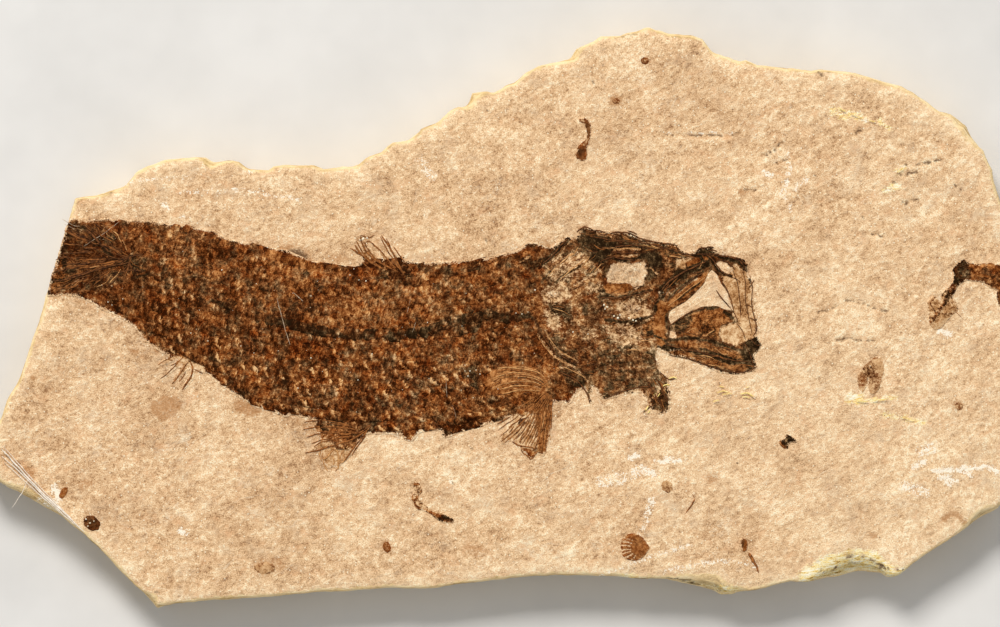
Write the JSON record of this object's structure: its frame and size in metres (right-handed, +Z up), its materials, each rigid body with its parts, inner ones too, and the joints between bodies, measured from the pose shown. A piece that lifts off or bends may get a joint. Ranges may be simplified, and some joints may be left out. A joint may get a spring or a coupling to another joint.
{
  "type": "fossil fish slab",
  "caption": "Thin irregular slab of split pale stone with a gaping fossil fish and small loose fossil scraps set in its upper face.",
  "frame": {"origin": "middle of the slab's bounding box, on its flat underside", "axes": "+X along the slab towards the end that the fish's head points to, +Y across it towards the fish's back, +Z up out of the split face"},
  "size_m": [0.1044, 0.0586, 0.006],
  "materials": {
    "stone": "matt, fine-grained split limestone, pinkish tan with a cream rim",
    "fish_bone": "dark brown to orange-brown mineralised bone and scales, slightly satin",
    "dark_bone": "nearly black mineralised bone with small bright grains",
    "brown_scrap": "brown, dull to satin"
  },
  "bodies": {
    "root": {"stone_slab": "stone", "fossil_fish": "fish_bone", "stray_bone": "dark_bone", "leaf_fragment": "brown_scrap", "loose_scale": "brown_scrap", "bone_splinter": "dark_bone", "hooked_bone": "brown_scrap", "dark_chip": "dark_bone", "bone_wedge": "brown_scrap", "seed_case_1": "brown_scrap", "seed_case_2": "brown_scrap", "seed_case_3": "brown_scrap", "seed_case_4": "brown_scrap", "seed_case_5": "brown_scrap", "seed_case_6": "brown_scrap", "seed_case_7": "brown_scrap", "seed_case_8": "brown_scrap"}
  },
  "joints": []
}
